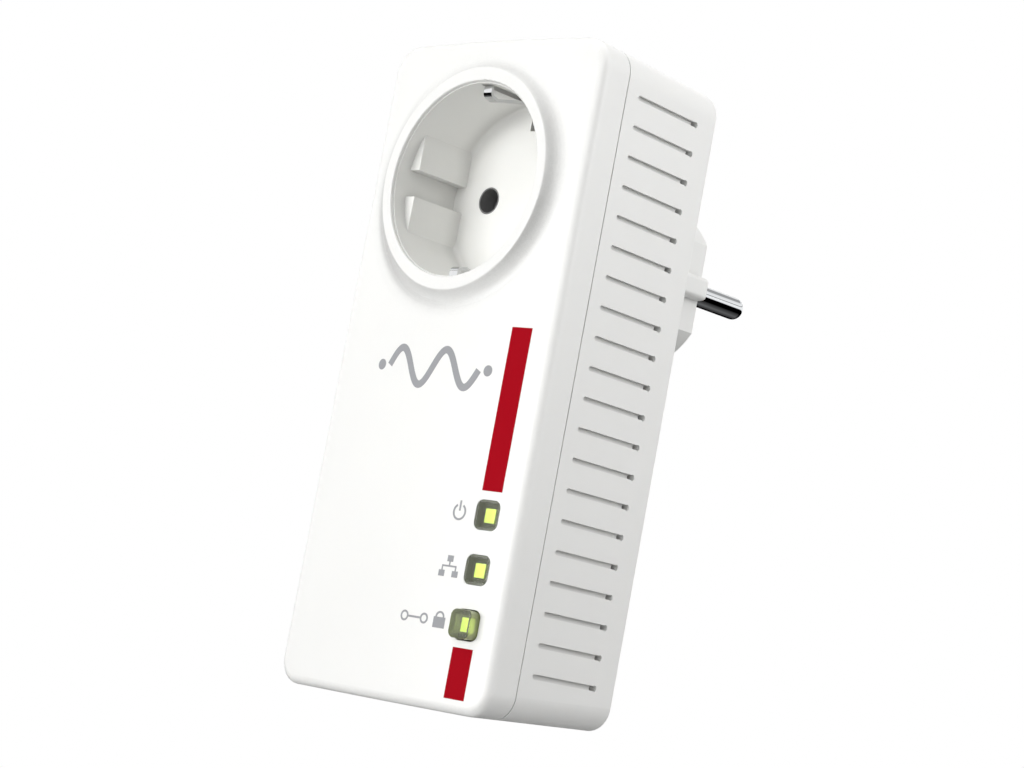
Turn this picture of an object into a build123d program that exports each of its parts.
from build123d import *
import math
import os

os.makedirs("parts", exist_ok=True)

# Plug-in powerline adapter with a pass-through earthed socket.
# Frame: millimetres, +Z up, +Y into the wall (the way the plug pins point),
# -Y the front face. The origin is the middle of the plug's end face.

# ---------------------------------------------------------------- sizes
W_FRONT = 59.0            # housing width at its front edge
Z_TOP = 37.1              # top of the housing at its front edge
Z_BOT = -94.9             # bottom of the housing at its front edge
Y_EDGE = -55.5            # plane of the front edge
Y_BACK = -18.1            # back of the housing
Y_PART = -47.7            # seam between the front cover and the rear housing
SEAM_GAP = 0.28
FACE_BOW = 1.77           # the front face bows out by this much, about +Z
DRAFT_SIDE = 0.066        # inward draft per mm of depth
DRAFT_TOP = 0.017
DRAFT_BOT = 0.038
R_CORNER_TOP = 5.8        # corner radii seen from the front
R_CORNER_BOT = 5.0
R_FRONT_EDGE = 1.7
R_BACK_EDGE = 0.9
WALL = 2.0
R_BOW = ((W_FRONT / 2) ** 2 + FACE_BOW ** 2) / (2 * FACE_BOW)
Y_FACE = Y_EDGE - FACE_BOW

# socket
ZS = 8.1                  # socket axis height
Y_RING = -59.12           # front of the ring round the socket
R_RING_OUT = 22.16
R_RING_IN = 19.83
R_COVE = 3.6              # blend from the ring down to the face
R_CUP_IN = 19.62          # inside of the recess
R_CUP_OUT = 21.2
R_COLLAR_IN = 21.4
R_COLLAR_OUT = 23.4
Y_CUP_LIP = -58.27
Y_FLOOR = -41.5           # floor of the recess, 17.6 mm behind the ring
FLOOR_T = 2.2
X_FLAT = 16.8             # flats on the left and right of the recess
Y_LEDGE = -55.2           # where the flats begin
CHANNEL = 2.75            # half height of the channel between the flats
PIN_PITCH = 19.0
X_PIN = PIN_PITCH / 2
R_PIN = 2.4               # 4.8 mm pins
R_SHANK = 2.2             # the pins' shanks inside the plug body
R_RIB = 0.9               # rounding of the plug's guide ribs
PIN_LEN = 19.0
R_ENTRY = 2.5             # pin entry holes
SLOT_HALF = 1.4           # half width of the earth spring slots

# shutter
Y_SHUT0, Y_SHUT1 = -37.2, -35.4
SHUTTER_TURN = 40.0
WING_HALF = 20.5
R_WING = 13.2

# contact base
Y_BASE0, Y_BASE1 = -35.1, -24.0
Y_BUS1 = -23.2

# vents
VENT_PITCH = 5.9685
VENT_TOP = 28.15
VENT_N = 20
VENT_Y0, VENT_Y1 = -43.9, -24.2
R_VENT = 0.5
VENT_DEPTH = 0.85

# lamps and button
X_LAMP = 21.34
Z_POWER, Z_LAN, Z_BUTTON = -57.1, -67.6, -78.1
LENS = 5.8
CAP = 5.5
CAP_OUT = 2.0             # how far the button stands proud
BUTTON_TRAVEL = 0.5

# boards
Y_MB0, Y_MB1 = -46.0, -44.4      # main board
Y_PB0, Y_PB1 = -25.6, -24.0      # power board

# network jack
JACK_X = 7.95
JACK_Y0, JACK_Y1 = -44.4, -31.0
JACK_Z0, JACK_Z1 = -93.7, -72.8

# housing screws
SCREW_XZ = [(21.5, 31.0), (-21.5, 31.0), (21.5, -87.5), (-21.5, -87.5)]
Y_BOSS = -34.0


def hw(y):
    return W_FRONT / 2 - DRAFT_SIDE * (y - Y_EDGE)


def zt(y):
    return Z_TOP - DRAFT_TOP * (y - Y_EDGE)


def zb(y):
    return Z_BOT + DRAFT_BOT * (y - Y_EDGE)


def face_y(x, back=0.0):
    # front face at x, or the same surface moved back
    r = R_BOW - back
    return Y_FACE + R_BOW - math.sqrt(r * r - x * x)


def at_y(y):
    # sketch plane facing the front; local x = +X, local y = +Z
    return Plane.XZ.offset(-y)


def save(part, label):
    part.label = label
    export_step(part, "parts/" + label + ".step")


def section(y, inset):
    # one cross section of the housing, drawn on the active sketch
    a = hw(y) - inset
    top, bot = zt(y) - inset, zb(y) + inset
    rt, rb = max(R_CORNER_TOP - inset, 0.8), max(R_CORNER_BOT - inset, 0.8)
    with BuildLine() as outline:
        l1 = Line((-a + rb, bot), (a - rb, bot))
        RadiusArc(l1 @ 1, (a, bot + rb), -rb)
        l2 = Line((a, bot + rb), (a, top - rt))
        RadiusArc(l2 @ 1, (a - rt, top), -rt)
        l3 = Line((a - rt, top), (-a + rt, top))
        RadiusArc(l3 @ 1, (-a, top - rt), -rt)
        l4 = Line((-a, top - rt), (-a, bot + rb))
        RadiusArc(l4 @ 1, (-a + rb, bot), -rb)
    make_face(outline.edges())


def body_solid(inset, y0, y1, bow_back):
    # drafted box between y0 and y1, its front bowed about a vertical axis
    with BuildPart() as b:
        with BuildSketch(Plane.XY.offset(Z_BOT - 10)):
            with BuildLine():
                Polyline((-hw(y0) + inset, y0), (hw(y0) - inset, y0), (hw(y1) - inset, y1),
                         (-hw(y1) + inset, y1), (-hw(y0) + inset, y0))
            make_face()
            with Locations((0, Y_FACE + R_BOW)):
                Circle(R_BOW - bow_back, mode=Mode.INTERSECT)
        extrude(amount=Z_TOP - Z_BOT + 20)
        with BuildSketch(Plane.YZ.offset(-40)):
            with BuildLine():
                Polyline((y0, zb(y0) + inset), (y1, zb(y1) + inset), (y1, zt(y1) - inset),
                         (y0, zt(y0) - inset), (y0, zb(y0) + inset))
            make_face()
        extrude(amount=80, mode=Mode.INTERSECT)
        long_edges = b.edges().filter_by(lambda e: e.geom_type == GeomType.LINE
                                         and abs((e % 0.5).Y) > 0.9)
        by_height = long_edges.sort_by(Axis.Z)
        fillet(by_height[-2:], max(R_CORNER_TOP - inset, 0.8))
        long_edges = b.edges().filter_by(lambda e: e.geom_type == GeomType.LINE
                                         and abs((e % 0.5).Y) > 0.9)
        fillet(long_edges.sort_by(Axis.Z)[:2], max(R_CORNER_BOT - inset, 0.8))
    return b.part


# outer envelope, with its front and back edges rounded
with BuildPart() as envelope:
    add(body_solid(0.0, -62.0, Y_BACK, 0.0))
    front_face = envelope.faces().sort_by(Axis.Y)[0]
    fillet(front_face.edges(), R_FRONT_EDGE)
    back_face = envelope.faces().sort_by(Axis.Y)[-1]
    fillet(back_face.edges(), R_BACK_EDGE)

# inner space of the housing, and the space inside the outer half of the wall
cavity = body_solid(WALL, -62.0, Y_BACK - WALL, WALL)
half_wall_in = body_solid(1.05, -62.0, Y_BACK - 1.0, 1.0)
half_wall_out = body_solid(0.95, -62.0, Y_BACK - 1.0, 1.0)


def plug_outline(grow=0.0):
    # round plug body with a flat and a guide rib on each side
    Circle(17.4 + grow)
    Rectangle(2 * (14.7 + grow), 60, mode=Mode.INTERSECT)
    a, b = 14.6 + grow, 16.8 + grow
    h0, h1 = 2.5 + grow, 2.2 + grow
    with BuildSketch(mode=Mode.PRIVATE) as rib:
        with BuildLine():
            Polyline((-b, h1), (-a, h0), (a, h0), (b, h1), (b, -h1), (a, -h0), (-a, -h0), (-b, -h1), (-b, h1))
        make_face()
        fillet([v for v in rib.vertices() if abs(v.X) > b - 0.01], R_RIB + grow)
    add(rib.sketch)


# ---------------------------------------------------------------- front cover
with BuildPart() as front_cover:
    add(envelope.part)
    # ring round the socket, blended into the face by a wide cove
    with BuildSketch(at_y(-54.6)):
        with Locations((0, ZS)):
            Circle(R_RING_OUT)
    extrude(amount=12.0)
    ring_wall = (front_cover.faces().filter_by(GeomType.CYLINDER)
                 .filter_by(lambda f: abs(f.radius - R_RING_OUT) < 1e-3))
    root = [e for f in ring_wall for e in f.edges() if e.bounding_box().min.Y > -58.5]
    fillet(root, R_COVE)
    with BuildSketch(at_y(Y_RING)):
        with Locations((0, ZS)):
            Circle(R_RING_OUT + 6)
    extrude(amount=12.0, mode=Mode.SUBTRACT)
    ring_top = front_cover.faces().sort_by(Axis.Y)[0]
    fillet(ring_top.edges(), 0.3)
    # keep the front part only, with a thin tongue-and-groove seam
    split(bisect_by=at_y(Y_PART), keep=Keep.TOP)
    add(cavity, mode=Mode.SUBTRACT)
    # groove for the rear housing's tongue
    with BuildSketch(at_y(Y_PART + 0.5)):
        section(Y_PART, 0.95)
    extrude(amount=2.4, mode=Mode.SUBTRACT)
    # collar behind the ring that locates the socket insert
    with BuildSketch(at_y(-40.95)):
        with Locations((0, ZS)):
            Circle(R_COLLAR_OUT)
    extrude(amount=14.9)
    with BuildSketch(at_y(-40.0)):
        with Locations((0, ZS)):
            Circle(R_COLLAR_IN)
    extrude(amount=-40.0 - (-58.3), mode=Mode.SUBTRACT)
    with BuildSketch(at_y(-57.0)):
        with Locations((0, ZS)):
            Circle(R_RING_IN)
    extrude(amount=5.0, mode=Mode.SUBTRACT)
    inner_rim = (front_cover.edges().filter_by(GeomType.CIRCLE)
                 .filter_by(lambda e: abs(e.radius - R_RING_IN) < 1e-3 and e.center().Y < Y_RING + 0.1))
    fillet(inner_rim, 0.32)
    # screw bosses
    for sx, sz in SCREW_XZ:
        with BuildSketch(at_y(Y_BOSS - 0.05)):
            with Locations((sx, sz)):
                Circle(3.0)
        extrude(amount=20.6)
    # posts for the main board
    with BuildSketch(at_y(Y_MB0)):
        with Locations((-22.0, -24.0), (22.0, -24.0), (-22.0, -76.0), (12.5, -87.6)):
            Circle(2.2)
    extrude(amount=9.2)
    with BuildSketch(at_y(Y_MB0)):
        with Locations((-22.0, -24.0), (22.0, -24.0), (-22.0, -76.0), (12.5, -87.6)):
            Circle(1.02)
    extrude(amount=6.5, mode=Mode.SUBTRACT)
    with BuildSketch(at_y(Y_BOSS + 1)):
        with Locations(*SCREW_XZ):
            Circle(1.47)
    extrude(amount=14.0, mode=Mode.SUBTRACT)
    # lamp windows and the button's opening
    with BuildSketch(at_y(-52.0)) as windows:
        with Locations((X_LAMP, Z_POWER), (X_LAMP, Z_LAN)):
            RectangleRounded(LENS + 0.06, LENS + 0.06, 1.53)
        with Locations((X_LAMP, Z_BUTTON)):
            RectangleRounded(CAP + 0.5, CAP + 0.5, 1.6)
    extrude(amount=8.0, mode=Mode.SUBTRACT)
save(front_cover.part, "front_cover")

# ---------------------------------------------------------------- rear housing
with BuildPart() as vent_tool:
    yc = (VENT_Y0 + VENT_Y1) / 2
    half = (VENT_Y1 - VENT_Y0) / 2 - R_VENT
    for side in (1, -1):
        run = Vector(-side * DRAFT_SIDE, 1, 0).normalized()
        out = Vector(side, DRAFT_SIDE, 0).normalized()
        for k in range(VENT_N):
            mid = Vector(side * hw(yc), yc, VENT_TOP - k * VENT_PITCH) + out * 0.02
            # round-ended groove along the wall
            with BuildSketch(Plane(origin=mid, x_dir=run, z_dir=-out)):
                SlotOverall(2 * (half + R_VENT), 2 * R_VENT)
            extrude(amount=VENT_DEPTH)
            # air hole at its rear end
            with BuildSketch(Plane(origin=mid + run * (half - 0.05) + out * 2, x_dir=run, z_dir=-out)):
                Circle(0.62)
            extrude(amount=8)

with BuildPart() as rear_housing:
    add(envelope.part)
    split(bisect_by=at_y(Y_PART + SEAM_GAP), keep=Keep.BOTTOM)
    # tongue that enters the front cover's groove
    with BuildSketch(at_y(Y_PART + SEAM_GAP)):
        section(Y_PART, 1.1)
    extrude(amount=1.9)
    add(body_solid(WALL, -62.0, Y_BACK - WALL, WALL), mode=Mode.SUBTRACT)
    # opening for the plug body
    with BuildSketch(at_y(Y_BACK + 1)):
        plug_outline(0.12)
    extrude(amount=4.0, mode=Mode.SUBTRACT)
    # screw towers with deep recesses for the heads
    with BuildSketch(at_y(Y_BACK - 1.0)):
        with Locations(*SCREW_XZ):
            Circle(3.3)
    extrude(amount=-Y_BOSS + (Y_BACK - 1.0))
    # posts for the power board and for the contact base
    with BuildSketch(at_y(Y_BACK - 1.0)):
        with Locations((19.5, -22.5), (-19.5, -22.5), (19.5, -65.0), (-19.5, -65.0)):
            Circle(2.2)
        with Locations((22.0, ZS + 10.5), (-22.0, ZS + 10.5), (22.0, ZS - 10.5), (-22.0, ZS - 10.5)):
            Circle(2.0)
    extrude(amount=4.9)
    with BuildSketch(at_y(-20.6)):
        with Locations((19.5, -22.5), (-19.5, -22.5), (19.5, -65.0), (-19.5, -65.0)):
            Circle(1.02)
        with Locations((22.0, ZS + 10.5), (-22.0, ZS + 10.5), (22.0, ZS - 10.5), (-22.0, ZS - 10.5)):
            Circle(1.02)
    extrude(amount=6.0, mode=Mode.SUBTRACT)
    with BuildSketch(at_y(Y_BACK + 1)):
        with Locations(*SCREW_XZ):
            Circle(2.45)
    extrude(amount=11.9, mode=Mode.SUBTRACT)
    with BuildSketch(at_y(Y_BACK + 1)):
        with Locations(*SCREW_XZ):
            Circle(1.6)
    extrude(amount=30, mode=Mode.SUBTRACT)
    # opening for the network jack in the bottom wall
    with BuildSketch(Plane.XY.offset(Z_BOT - 3)):
        with Locations((0, (JACK_Y0 + JACK_Y1) / 2)):
            RectangleRounded(2 * JACK_X + 0.5, JACK_Y1 - JACK_Y0 + 0.5, 0.5)
    extrude(amount=8, mode=Mode.SUBTRACT)
    add(vent_tool.part, mode=Mode.SUBTRACT)
save(rear_housing.part, "rear_housing")

# ---------------------------------------------------------------- socket insert
with BuildPart() as socket_insert:
    with BuildSketch(at_y(Y_FLOOR + FLOOR_T)):
        with Locations((0, ZS)):
            Circle(R_CUP_OUT)
    extrude(amount=(Y_FLOOR + FLOOR_T) - Y_CUP_LIP)
    with BuildSketch(at_y(Y_FLOOR + FLOOR_T)):
        with Locations((0, ZS)):
            Circle(R_COLLAR_OUT)
    extrude(amount=1.6)
    with BuildSketch(at_y(Y_FLOOR)):
        with Locations((0, ZS)):
            Circle(R_CUP_IN)
    extrude(amount=20, mode=Mode.SUBTRACT)
    # flats with a channel between them, left and right
    with BuildSketch(at_y(Y_FLOOR + 0.5)):
        with Locations((0, ZS)):
            Circle(R_CUP_IN + 0.6)
            Rectangle(2 * X_FLAT, 60, mode=Mode.SUBTRACT)
            Rectangle(60, 2 * CHANNEL, mode=Mode.SUBTRACT)
    extrude(amount=Y_FLOOR + 0.5 - Y_LEDGE)
    floor_edges = (socket_insert.edges().filter_by(GeomType.CIRCLE)
                   .filter_by(lambda e: abs(e.radius - R_CUP_IN) < 1e-3 and abs(e.center().Y - Y_FLOOR) < 1e-3
                              and e.length > 20))
    fillet(floor_edges, 0.9)
    # entry holes, and the slots for the earth springs
    with BuildSketch(at_y(Y_FLOOR + FLOOR_T + 1)):
        with Locations((X_PIN, ZS), (-X_PIN, ZS)):
            Circle(2.83)
    extrude(amount=5, mode=Mode.SUBTRACT)
    with BuildSketch(at_y(Y_FLOOR + FLOOR_T + 1)):
        with Locations((0, ZS + 18.25), (0, ZS - 18.25)):
            Rectangle(2 * SLOT_HALF, 7.5)
    extrude(amount=-(-57.2) + (Y_FLOOR + FLOOR_T + 1), mode=Mode.SUBTRACT)
save(socket_insert.part, "socket_insert")

# ---------------------------------------------------------------- shutter carrier
with BuildPart() as shutter_carrier:
    with BuildSketch(at_y(Y_FLOOR + FLOOR_T + 1.8)):
        with Locations((0, ZS)):
            Circle(15.8)
        with Locations((0, ZS + 16), (0, ZS - 16)):
            Rectangle(5.0, 4.6, mode=Mode.SUBTRACT)
    extrude(amount=1.8)
    with BuildSketch(at_y(Y_BASE0)):
        with Locations((0, ZS)):
            Circle(15.8)
            Circle(14.0, mode=Mode.SUBTRACT)
        with Locations((0, ZS + 16), (0, ZS - 16)):
            Rectangle(5.0, 4.6, mode=Mode.SUBTRACT)
    extrude(amount=Y_BASE0 - (Y_FLOOR + FLOOR_T + 1.8))
    with BuildSketch(at_y(Y_FLOOR + FLOOR_T)):
        with Locations((X_PIN, ZS), (-X_PIN, ZS)):
            Circle(2.8)
    extrude(amount=FLOOR_T)
    with BuildSketch(at_y(Y_FLOOR + FLOOR_T + 2.5)):
        with Locations((X_PIN, ZS), (-X_PIN, ZS)):
            Circle(R_ENTRY)
    extrude(amount=6, mode=Mode.SUBTRACT)
    with BuildSketch(at_y(Y_FLOOR + FLOOR_T + 2.5)):
        with Locations((0, ZS)):
            Circle(1.62)
    extrude(amount=1.7, mode=Mode.SUBTRACT)
save(shutter_carrier.part, "shutter_carrier")

# ---------------------------------------------------------------- safety shutter
with BuildPart() as safety_shutter:
    with BuildSketch(at_y(Y_SHUT1)):
        with Locations((0, ZS)):
            Circle(R_WING)
            c, s = math.cos(math.radians(WING_HALF)), math.sin(math.radians(WING_HALF))
            with BuildLine():
                Polyline((0, ZS), (40 * c, ZS + 40 * s), (0, ZS + 40), (-40 * c, ZS + 40 * s), (0, ZS))
            make_face(mode=Mode.SUBTRACT)
            with BuildLine():
                Polyline((0, ZS), (40 * c, ZS - 40 * s), (0, ZS - 40), (-40 * c, ZS - 40 * s), (0, ZS))
            make_face(mode=Mode.SUBTRACT)
        with Locations((0, ZS)):
            Circle(4.4)
    extrude(amount=Y_SHUT1 - Y_SHUT0)
    # ramps that the pins push on, along the leading edges
    lead = (safety_shutter.edges().filter_by(GeomType.LINE)
            .filter_by(lambda e: abs(e.center().Y - Y_SHUT0) < 1e-3))
    chamfer(lead, 0.8)
    with BuildSketch(at_y(Y_SHUT1 + 1)):
        with Locations((0, ZS)):
            Circle(1.55)
        with Locations((0, ZS + 2.8)):
            Circle(0.5)
    extrude(amount=5, mode=Mode.SUBTRACT)
save(safety_shutter.part, "safety_shutter")

# ---------------------------------------------------------------- contact base
with BuildPart() as contact_base:
    with BuildSketch(at_y(Y_BASE1)):
        with Locations((0, ZS)):
            Rectangle(49.0, 26.0)
    extrude(amount=3.0)
    with BuildSketch(at_y(Y_BASE1)):
        with Locations((0, ZS)):
            Rectangle(32.0, 26.0)
    extrude(amount=Y_BASE1 - Y_BASE0)
    # four feet that hold the insert's flange
    with BuildSketch(at_y(Y_BASE1)):
        with Locations((17.6, ZS + 9.8), (-17.6, ZS + 9.8), (17.6, ZS - 9.8), (-17.6, ZS - 9.8)):
            Circle(1.8)
    extrude(amount=Y_BASE1 - (Y_FLOOR + FLOOR_T))
    # pivot and stops of the shutter
    with BuildSketch(at_y(Y_BASE0)):
        with Locations((0, ZS)):
            Circle(1.5)
    extrude(amount=3.2)
    a0 = math.radians(-(WING_HALF + 5.49))
    a1 = math.radians(SHUTTER_TURN + WING_HALF + 5.49)
    with BuildSketch(at_y(Y_BASE0)):
        with Locations((11.5 * math.cos(a0), ZS + 11.5 * math.sin(a0)),
                       (11.5 * math.cos(a1), ZS + 11.5 * math.sin(a1))):
            Circle(0.8)
    extrude(amount=2.2)
    # bores for the two socket contacts
    with BuildSketch(at_y(Y_BASE1 + 1)):
        with Locations((X_PIN, ZS), (-X_PIN, ZS)):
            Circle(3.4)
    extrude(amount=20, mode=Mode.SUBTRACT)
    # room for the pin rivets, the shutter spring and its fixed leg
    with BuildSketch(at_y(Y_BASE1 + 1)):
        with Locations((X_PIN, 0), (-X_PIN, 0)):
            Circle(2.6)
    extrude(amount=2.2, mode=Mode.SUBTRACT)
    with BuildSketch(at_y(-32.3)):
        with Locations((0, ZS)):
            Circle(3.5)
            Circle(2.0, mode=Mode.SUBTRACT)
    extrude(amount=2.8, mode=Mode.SUBTRACT)
    with BuildSketch(at_y(-33.4)):
        with Locations((0, ZS - 5.0)):
            Rectangle(0.8, 4.4)
    extrude(amount=1.7, mode=Mode.SUBTRACT)
    # screw holes in the wings
    with BuildSketch(at_y(Y_BASE1 + 1)):
        with Locations((22.0, ZS + 10.5), (-22.0, ZS + 10.5), (22.0, ZS - 10.5), (-22.0, ZS - 10.5)):
            Circle(1.15)
    extrude(amount=6, mode=Mode.SUBTRACT)
save(contact_base.part, "contact_base")

# torsion spring that turns the shutter shut: closed coil, one leg in the base,
# one leg in the shutter's hub
with BuildPart() as shutter_spring:
    for yk in (-34.55, -34.17, -33.79):
        with BuildSketch(Plane.YZ):
            with Locations((yk, ZS + 2.8)):
                Circle(0.2)
        revolve(axis=Axis((0, 0, ZS), (0, 1, 0)))
    with Locations(Plane(origin=(0, -35.55, ZS + 2.8), z_dir=(0, 1, 0)).location):
        Cylinder(0.2, 2.0)
    with Locations((0, -33.95, ZS - 4.5)):
        Cylinder(0.2, 3.4)
save(shutter_spring.part, "shutter_spring")

# ---------------------------------------------------------------- live parts
for label, side in (("live_contact", 1), ("neutral_contact", -1)):
    with BuildPart() as contact:
        with BuildSketch(at_y(Y_BASE1)):
            with Locations((side * X_PIN, ZS)):
                Circle(3.3)
                Circle(2.46, mode=Mode.SUBTRACT)
        extrude(amount=10.6)
        # the sleeve is slit so that it grips the pin
        with BuildSketch(at_y(Y_BASE1 - 2.0)):
            with Locations((side * X_PIN, ZS)):
                Rectangle(0.7, 8)
        extrude(amount=10, mode=Mode.SUBTRACT)
    save(contact.part, label)

for label, side in (("live_busbar", 1), ("neutral_busbar", -1)):
    with BuildPart() as bar:
        with BuildSketch(at_y(Y_BUS1)):
            with Locations((side * X_PIN, (ZS + 3.6 - 3.2) / 2)):
                RectangleRounded(7.2, ZS + 3.6 + 3.2, 1.2)
            with Locations((side * X_PIN, -12.0)):
                Rectangle(3.4, 20.0)
            with Locations((side * X_PIN, ZS)):
                Circle(2.6, mode=Mode.SUBTRACT)
            with Locations((side * X_PIN, 0)):
                Circle(1.5, mode=Mode.SUBTRACT)
        extrude(amount=Y_BUS1 - Y_BASE1)
    save(bar.part, label)

for label, side in (("live_plug_pin", 1), ("neutral_plug_pin", -1)):
    with BuildPart() as pin:
        with BuildSketch(Plane.XY):
            with BuildLine():
                Polyline((0, PIN_LEN), (R_PIN, PIN_LEN), (R_PIN, 0), (R_SHANK, 0), (R_SHANK, -21.4), (1.48, -21.4), (1.48, -24.02),
                         (2.2, -24.02), (2.2, -24.7), (0, -24.7), (0, PIN_LEN))
            make_face()
        revolve(axis=Axis.Y)
        tip_edge = pin.edges().filter_by(GeomType.CIRCLE).sort_by(Axis.Y)[-1]
        fillet(tip_edge, 2.05)
    save(pin.part.moved(Location((side * X_PIN, 0, 0))), label)

# ---------------------------------------------------------------- plug body
with BuildPart() as plug_body:
    with BuildSketch(at_y(-21.2)):
        plug_outline()
    extrude(amount=-21.2)
    end = plug_body.faces().sort_by(Axis.Y)[-1]
    fillet(end.edges(), 0.7)
    with BuildSketch(at_y(Y_BACK - WALL - 0.02)):
        Circle(18.6)
    extrude(amount=1.15)
    # notches for the earth strips
    with BuildSketch(at_y(-1.6)):
        with Locations((0, 17.5), (0, -17.5)):
            Rectangle(5.2, 3.0)
    extrude(amount=30, mode=Mode.SUBTRACT)
    # pin holes and coring behind the end wall
    with BuildSketch(at_y(5)):
        with Locations((X_PIN, 0), (-X_PIN, 0)):
            Circle(R_SHANK + 0.02)
    extrude(amount=40, mode=Mode.SUBTRACT)
    # shallow counterbores round the pins where they leave the end face
    with BuildSketch(at_y(0.5)):
        with Locations((X_PIN, 0), (-X_PIN, 0)):
            Circle(R_PIN + 0.05)
    extrude(amount=0.8, mode=Mode.SUBTRACT)
    with BuildSketch(at_y(-3.0)):
        Rectangle(25.0, 24.0)
        Circle(14.4, mode=Mode.INTERSECT)
        with Locations((X_PIN, 0), (-X_PIN, 0)):
            Circle(4.2, mode=Mode.SUBTRACT)
        Rectangle(40, 1.6, mode=Mode.SUBTRACT)
        Rectangle(2.0, 40, mode=Mode.SUBTRACT)
    extrude(amount=30, mode=Mode.SUBTRACT)
save(plug_body.part, "plug_body")

# earth strips on the top and bottom of the plug
for label, side in (("upper_plug_earth_strip", 1), ("lower_plug_earth_strip", -1)):
    with BuildPart() as strip:
        with BuildSketch(Plane.YZ):
            with BuildLine():
                Polyline((-2.0, side * 16.05), (Y_BUS1, side * 16.05), (Y_BUS1, side * 16.65),
                         (-17.4, side * 16.65), (-16.6, side * 17.0), (-3.2, side * 17.0),
                         (-2.0, side * 16.5), (-2.0, side * 16.05))
            make_face()
        extrude(amount=2.3, both=True)
    save(strip.part, label)

# earth bridge: strap behind the contact base with a forward tab at each end
with BuildPart() as earth_bridge:
    with BuildSketch(at_y(Y_BUS1)):
        with Locations((0, (ZS + 20.3 - 17.9) / 2)):
            Rectangle(5.6, ZS + 20.3 + 17.9)
    extrude(amount=0.8)
    with BuildSketch(at_y(Y_BUS1)):
        with Locations((0, ZS + 19.9), (0, ZS - 19.9)):
            Rectangle(2.2, 0.8)
    extrude(amount=Y_BUS1 + 38.2)
save(earth_bridge.part, "earth_bridge")

# earth springs: bent strips that reach into the recess through its slots
SPRING_T = 0.6
for label, side in (("upper_earth_spring", 1), ("lower_earth_spring", -1)):
    with BuildPart() as spring:
        with BuildSketch(Plane.YZ):
            with BuildLine():
                FilletPolyline((-38.5, ZS + side * 19.9), (-42.6, ZS + side * 19.9), (-54.3, ZS + side * 17.1),
                               (-56.2, ZS + side * 17.6), (-56.2, ZS + side * 19.5), radius=0.9)
            trace(line_width=SPRING_T)
        extrude(amount=1.1, both=True)
    save(spring.part, label)

# ---------------------------------------------------------------- lamp windows, light guides, button
for label, zc in (("power_lens", Z_POWER), ("lan_lens", Z_LAN)):
    with BuildPart() as lens:
        with BuildSketch(at_y(-54.5)):
            with Locations((X_LAMP, zc)):
                RectangleRounded(LENS, LENS, 1.5)
        extrude(amount=4.0)
        with BuildSketch(Plane.XY.offset(zc - 10)):
            with Locations((0, Y_FACE + R_BOW)):
                Circle(R_BOW - 0.1)
        extrude(amount=20, mode=Mode.INTERSECT)
        with BuildSketch(at_y(-54.0)):
            with Locations((X_LAMP, zc)):
                Rectangle(2.7, 2.8)
        extrude(amount=1.42, mode=Mode.SUBTRACT)
    save(lens.part, label)

with BuildPart() as light_guides:
    with BuildSketch(at_y(-47.0)):
        with Locations((X_LAMP, Z_POWER), (X_LAMP, Z_LAN)):
            Rectangle(2.6, 2.7)
    extrude(amount=55.4 - 47.0)
    with BuildSketch(at_y(-47.0)):
        with Locations((X_LAMP, Z_BUTTON)):
            Rectangle(2.6, 2.7)
    extrude(amount=56.1 - 47.0)
save(light_guides.part, "light_guides")

with BuildPart() as light_guide_frame:
    with BuildSketch(at_y(-48.6)):
        with Locations((X_LAMP, (Z_POWER + Z_BUTTON) / 2)):
            RectangleRounded(5.6, 28.0, 0.8)
        with Locations((X_LAMP, Z_POWER), (X_LAMP, Z_LAN), (X_LAMP, Z_BUTTON)):
            Rectangle(2.66, 2.76, mode=Mode.SUBTRACT)
    extrude(amount=1.4)
    with BuildSketch(at_y(Y_MB0)):
        with Locations((X_LAMP, (Z_POWER + Z_LAN) / 2), (X_LAMP, (Z_LAN + Z_BUTTON) / 2)):
            Rectangle(3.0, 2.0)
    extrude(amount=2.7)
save(light_guide_frame.part, "light_guide_frame")

with BuildPart() as pairing_button:
    y_cap = face_y(X_LAMP) - CAP_OUT
    with BuildSketch(at_y(-52.8)):
        with Locations((X_LAMP, Z_BUTTON)):
            RectangleRounded(CAP, CAP, 1.35)
    extrude(amount=-52.8 - y_cap)
    cap_top = pairing_button.faces().sort_by(Axis.Y)[0]
    fillet(cap_top.edges(), 0.3)
    with BuildSketch(at_y(-52.8)):
        with Locations((17.35, Z_BUTTON)):
            RectangleRounded(15.7, 7.6, 1.0)
    extrude(amount=0.9)
    with BuildSketch(at_y(-50.15)):
        with Locations((13.0, Z_BUTTON)):
            Circle(1.3)
    extrude(amount=3.0)
    # hollow behind the cap for the light guide
    with BuildSketch(at_y(-52.0)):
        with Locations((X_LAMP, Z_BUTTON)):
            Rectangle(3.5, 3.6)
    extrude(amount=-52.0 - y_cap - 0.9, mode=Mode.SUBTRACT)
save(pairing_button.part, "pairing_button")

with BuildPart() as tact_switch_body:
    with BuildSketch(at_y(Y_MB0)):
        with Locations((13.0, Z_BUTTON)):
            RectangleRounded(6.0, 6.0, 0.4)
    extrude(amount=3.4)
    with BuildSketch(at_y(-47.4)):
        with Locations((13.0, Z_BUTTON)):
            Circle(1.83)
    extrude(amount=4, mode=Mode.SUBTRACT)
save(tact_switch_body.part, "tact_switch_body")

with BuildPart() as tact_switch_plunger:
    with BuildSketch(at_y(-48.2)):
        with Locations((13.0, Z_BUTTON)):
            Circle(1.75)
    extrude(amount=1.85)
    chamfer(tact_switch_plunger.faces().sort_by(Axis.Y)[0].edges(), 0.2)
save(tact_switch_plunger.part, "tact_switch_plunger")

with BuildPart() as status_leds:
    with BuildSketch(at_y(Y_MB0)):
        with Locations((X_LAMP, Z_POWER), (X_LAMP, Z_LAN), (X_LAMP, Z_BUTTON)):
            RectangleRounded(2.4, 2.4, 0.2)
    extrude(amount=0.8)
save(status_leds.part, "status_leds")

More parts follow.
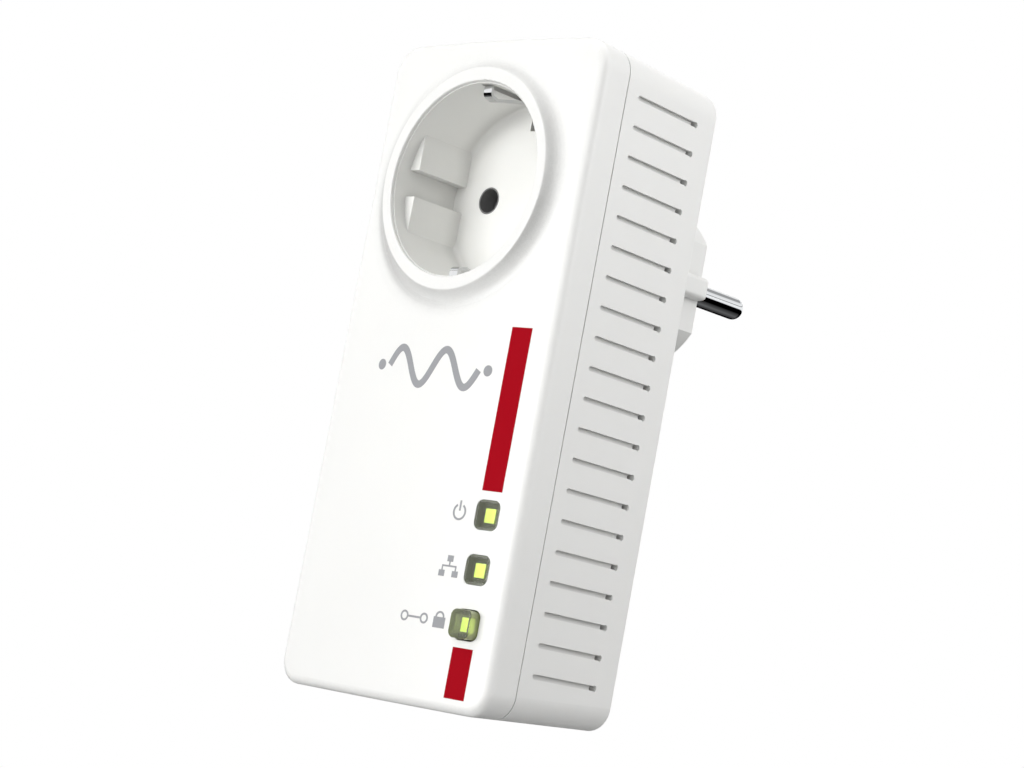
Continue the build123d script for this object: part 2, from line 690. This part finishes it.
# ---------------------------------------------------------------- main board and what it carries
MB_SCREWS = [(-22.0, -24.0), (22.0, -24.0), (-22.0, -76.0), (12.5, -87.6)]
with BuildPart() as main_board:
    with BuildSketch(at_y(Y_MB1)):
        with Locations((0, -54.25)):
            Rectangle(49.6, 72.5)
        with Locations((21.5, -87.5), (-21.5, -87.5)):
            Circle(3.7, mode=Mode.SUBTRACT)
        with Locations((25.0, -91.0), (-25.0, -91.0)):
            Rectangle(7.4, 7.4, mode=Mode.SUBTRACT)
        with Locations(*MB_SCREWS):
            Circle(1.2, mode=Mode.SUBTRACT)
    extrude(amount=Y_MB1 - Y_MB0)
save(main_board.part, "main_board")

with BuildPart() as modem_chip:
    with BuildSketch(at_y(-43.2)):
        with Locations((0, -45.0)):
            Rectangle(12.0, 12.0)
    extrude(amount=1.2)
    chamfer(modem_chip.faces().sort_by(Axis.Y)[-1].edges(), 0.3)
save(modem_chip.part, "modem_chip")

with BuildPart() as thermal_pad:
    with BuildSketch(at_y(-42.4)):
        with Locations((0, -45.0)):
            RectangleRounded(12.6, 12.6, 0.6)
    extrude(amount=0.8)
save(thermal_pad.part, "thermal_pad")

with BuildPart() as heatsink:
    with BuildSketch(at_y(-41.7)):
        with Locations((0, -45.0)):
            RectangleRounded(30.0, 25.0, 1.0)
    extrude(amount=0.7)
    with BuildSketch(at_y(-40.6)):
        with Locations((0, -45.0)):
            with GridLocations(3.0, 0, 9, 1):
                Rectangle(1.2, 23.0)
    extrude(amount=1.1)
save(heatsink.part, "heatsink")

with BuildPart() as memory_chip:
    with BuildSketch(at_y(-43.5)):
        with Locations((-15.0, -31.0)):
            Rectangle(10.0, 6.0)
    extrude(amount=0.9)
save(memory_chip.part, "memory_chip")

with BuildPart() as network_magnetics:
    with BuildSketch(at_y(-38.6)):
        with Locations((0, -66.0)):
            Rectangle(13.0, 9.6)
    extrude(amount=5.8)
    chamfer(network_magnetics.faces().sort_by(Axis.Y)[-1].edges(), 0.4)
save(network_magnetics.part, "network_magnetics")

# network jack: sheet metal shield, plastic insert, eight spring contacts
JW = JACK_X
with BuildPart() as jack_shield:
    with BuildSketch(Plane.XY.offset(JACK_Z0)):
        with Locations((0, (JACK_Y0 + JACK_Y1) / 2)):
            Rectangle(2 * JW, JACK_Y1 - JACK_Y0)
            Rectangle(2 * JW - 0.6, JACK_Y1 - JACK_Y0 - 0.6, mode=Mode.SUBTRACT)
    extrude(amount=JACK_Z1 - JACK_Z0)
    with BuildSketch(Plane.XY.offset(JACK_Z1 - 0.3)):
        with Locations((0, (JACK_Y0 + JACK_Y1) / 2)):
            Rectangle(2 * JW, JACK_Y1 - JACK_Y0)
    extrude(amount=0.3)
save(jack_shield.part, "jack_shield")

with BuildPart() as jack_insert:
    with BuildSketch(Plane.XY.offset(JACK_Z0 + 0.2)):
        with Locations((0, (JACK_Y0 + JACK_Y1) / 2)):
            Rectangle(2 * JW - 0.7, JACK_Y1 - JACK_Y0 - 0.7)
    extrude(amount=JACK_Z1 - JACK_Z0 - 0.6)
    with BuildSketch(Plane.XY.offset(JACK_Z0 - 1)):
        with Locations((0, -39.1)):
            Rectangle(11.9, 7.0)
        with Locations((0, -34.7)):
            Rectangle(6.2, 2.0)
        with Locations((0, -33.3)):
            Rectangle(3.4, 1.4)
    extrude(amount=14.7, mode=Mode.SUBTRACT)
    # comb that guides the contacts
    with BuildSketch(Plane.XY.offset(JACK_Z0 + 10.0)):
        with Locations((0, -42.95)):
            with GridLocations(1.02, 0, 8, 1):
                Rectangle(0.6, 0.9)
    extrude(amount=5.0, mode=Mode.SUBTRACT)
save(jack_insert.part, "jack_insert")

with BuildPart() as jack_contacts:
    with BuildSketch(Plane.YZ.offset(-3.5 * 1.02 - 0.2)):
        with BuildLine():
            Polyline((-43.2, JACK_Z0 + 14.4), (-43.2, JACK_Z0 + 11.0), (-42.5, JACK_Z0 + 10.6), (-40.2, JACK_Z0 + 4.6),
                     (-39.9, JACK_Z0 + 4.8), (-42.1, JACK_Z0 + 10.9), (-42.75, JACK_Z0 + 11.3),
                     (-42.75, JACK_Z0 + 14.4), (-43.2, JACK_Z0 + 14.4))
        make_face()
    extrude(amount=0.4)
    one = jack_contacts.part
    for k in range(1, 8):
        add(one.moved(Location((k * 1.02, 0, 0))))
save(jack_contacts.part, "jack_contacts")

# ---------------------------------------------------------------- power board and what it carries
PB_SCREWS = [(19.5, -22.5), (-19.5, -22.5), (19.5, -65.0), (-19.5, -65.0)]
with BuildPart() as power_board:
    with BuildSketch(at_y(Y_PB1 - 0.0)):
        with Locations((0, -43.6)):
            Rectangle(46.0, 48.8)
        with Locations(*PB_SCREWS):
            Circle(1.2, mode=Mode.SUBTRACT)
    extrude(amount=Y_PB1 - Y_PB0)
save(power_board.part, "power_board")

with BuildPart() as transformer_core:
    with BuildSketch(Plane.XY.offset(-52.5)):
        with Locations((-10.0, -32.6)):
            Rectangle(18.0, 11.6)
        with Locations((-15.2, -32.6), (-4.8, -32.6)):
            Rectangle(4.2, 7.4, mode=Mode.SUBTRACT)
    extrude(amount=11.0)
save(transformer_core.part, "transformer_core")

with BuildPart() as transformer_coil:
    with BuildSketch(at_y(-28.95)):
        with Locations((-10.0, -47.0)):
            RectangleRounded(14.5, 19.0, 2.5)
            Rectangle(6.3, 11.1, mode=Mode.SUBTRACT)
    extrude(amount=7.3)
    with BuildSketch(at_y(Y_PB0)):
        with Locations((-10.0, -55.6), (-10.0, -38.4)):
            Rectangle(13.0, 1.8)
    extrude(amount=4.0)
save(transformer_coil.part, "transformer_coil")

with BuildPart() as bulk_capacitors:
    with BuildSketch(at_y(Y_PB0)):
        with Locations((15.5, -32.0), (15.5, -43.5)):
            Circle(5.0)
    extrude(amount=14.0)
    fillet(bulk_capacitors.edges().filter_by(GeomType.CIRCLE).group_by(Axis.Y)[0], 0.6)
save(bulk_capacitors.part, "bulk_capacitors")

with BuildPart() as x_capacitor:
    with BuildSketch(at_y(Y_PB0)):
        with Locations((-8.5, -25.5)):
            RectangleRounded(13.0, 5.0, 0.3)
    extrude(amount=11.0)
save(x_capacitor.part, "x_capacitor")

with BuildPart() as filter_choke:
    with BuildSketch(at_y(Y_PB0 - 0.6)):
        with Locations((4.6, -33.0)):
            Circle(5.2)
            Circle(2.2, mode=Mode.SUBTRACT)
    extrude(amount=5.4)
    fillet(filter_choke.edges().filter_by(GeomType.CIRCLE), 1.1)
    with BuildSketch(at_y(Y_PB0)):
        with Locations((4.6, -33.0)):
            Circle(4.0)
    extrude(amount=1.0)
save(filter_choke.part, "filter_choke")

with BuildPart() as varistor:
    with BuildSketch(Plane.YZ.offset(3.0)):
        with Locations((Y_PB0 - 5.4, -60.5)):
            Circle(4.5)
    extrude(amount=3.6)
    fillet(varistor.edges().filter_by(GeomType.CIRCLE), 1.0)
    with Locations(Plane(origin=(4.8, Y_PB0 - 0.9, -58.0), z_dir=(0, 1, 0)).location,
                   Plane(origin=(4.8, Y_PB0 - 0.9, -63.0), z_dir=(0, 1, 0)).location):
        Cylinder(0.35, 1.8)
save(varistor.part, "varistor")

with BuildPart() as fuse:
    with BuildSketch(at_y(Y_PB0)):
        with Locations((5.0, -22.6)):
            RectangleRounded(8.4, 4.0, 0.5)
    extrude(amount=7.0)
save(fuse.part, "fuse")

with BuildPart() as bridge_rectifier:
    with BuildSketch(at_y(Y_PB0)):
        with Locations((4.6, -43.5)):
            Rectangle(6.5, 5.0)
    extrude(amount=2.5)
    chamfer(bridge_rectifier.faces().sort_by(Axis.Y)[0].edges(), 0.4)
save(bridge_rectifier.part, "bridge_rectifier")

with BuildPart() as coupling_transformer:
    with BuildSketch(at_y(Y_PB0)):
        with Locations((14.0, -57.0)):
            RectangleRounded(9.0, 9.0, 0.8)
    extrude(amount=7.5)
save(coupling_transformer.part, "coupling_transformer")

# header that joins the two boards
with BuildPart() as board_header:
    with BuildSketch(at_y(Y_PB0)):
        with Locations((-12.0, -62.6)):
            Rectangle(10.6, 4.0)
    extrude(amount=8.5)
save(board_header.part, "board_header")

with BuildPart() as board_header_pins:
    with BuildSketch(at_y(Y_PB0 - 8.5)):
        with Locations((-12.0, -62.6)):
            with GridLocations(2.0, 2.0, 5, 2):
                Rectangle(0.5, 0.5)
    extrude(amount=(Y_PB0 - 8.5) - Y_MB1)
save(board_header_pins.part, "board_header_pins")

# insulating sheet between the boards
with BuildPart() as insulation_sheet:
    with BuildSketch(at_y(-39.9)):
        with Locations((0, -43.5)):
            RectangleRounded(45.0, 47.0, 1.5)
        with Locations((-12.0, -62.6)):
            Rectangle(11.6, 5.0, mode=Mode.SUBTRACT)
        with Locations((0, -66.0)):
            Rectangle(14.0, 11.0, mode=Mode.SUBTRACT)
    extrude(amount=0.3)
save(insulation_sheet.part, "insulation_sheet")


# ---------------------------------------------------------------- screws
def pan_screw(x, z, y_head, head_r, head_h, shank_r, shank_l, toward):
    # head seated at y_head, shank running along toward (+1 = +Y, -1 = -Y)
    d = Vector(0, toward, 0)
    with BuildPart(mode=Mode.PRIVATE) as s:
        with BuildSketch(Plane(origin=(x, y_head, z), x_dir=(1, 0, 0), z_dir=-d)):
            Circle(head_r)
        extrude(amount=head_h)
        fillet(s.edges().filter_by(GeomType.CIRCLE).sort_by(Axis.Y)[0 if toward > 0 else -1], min(head_h * 0.4, 0.6))
        with BuildSketch(Plane(origin=(x, y_head, z), x_dir=(1, 0, 0), z_dir=d)):
            Circle(shank_r)
        extrude(amount=shank_l)
        # cross recess
        with BuildSketch(Plane(origin=(x, y_head, z), x_dir=(1, 0, 0), z_dir=-d).offset(head_h)):
            Rectangle(head_r * 1.1, head_r * 0.28)
            Rectangle(head_r * 0.28, head_r * 1.1)
        extrude(amount=-head_h * 0.55, mode=Mode.SUBTRACT)
    return s.part


def screw_group(label, screws):
    with BuildPart() as group:
        for s in screws:
            add(s)
    save(group.part, label)


screw_group("housing_screws", [pan_screw(x, z, -28.98, 2.25, 1.8, 1.44, 14.0, -1) for x, z in SCREW_XZ])
screw_group("main_board_screws", [pan_screw(x, z, Y_MB1, 2.0, 1.3, 1.0, 6.0, -1) for x, z in MB_SCREWS])
screw_group("power_board_screws", [pan_screw(x, z, Y_PB0, 2.0, 1.3, 1.0, 4.6, 1) for x, z in PB_SCREWS])
screw_group("contact_base_screws", [pan_screw(x, z, Y_BASE1 - 3.0, 2.0, 1.3, 1.0, 5.6, 1)
                                    for x, z in ((22.0, ZS + 10.5), (-22.0, ZS + 10.5),
                                                 (22.0, ZS - 10.5), (-22.0, ZS - 10.5))])
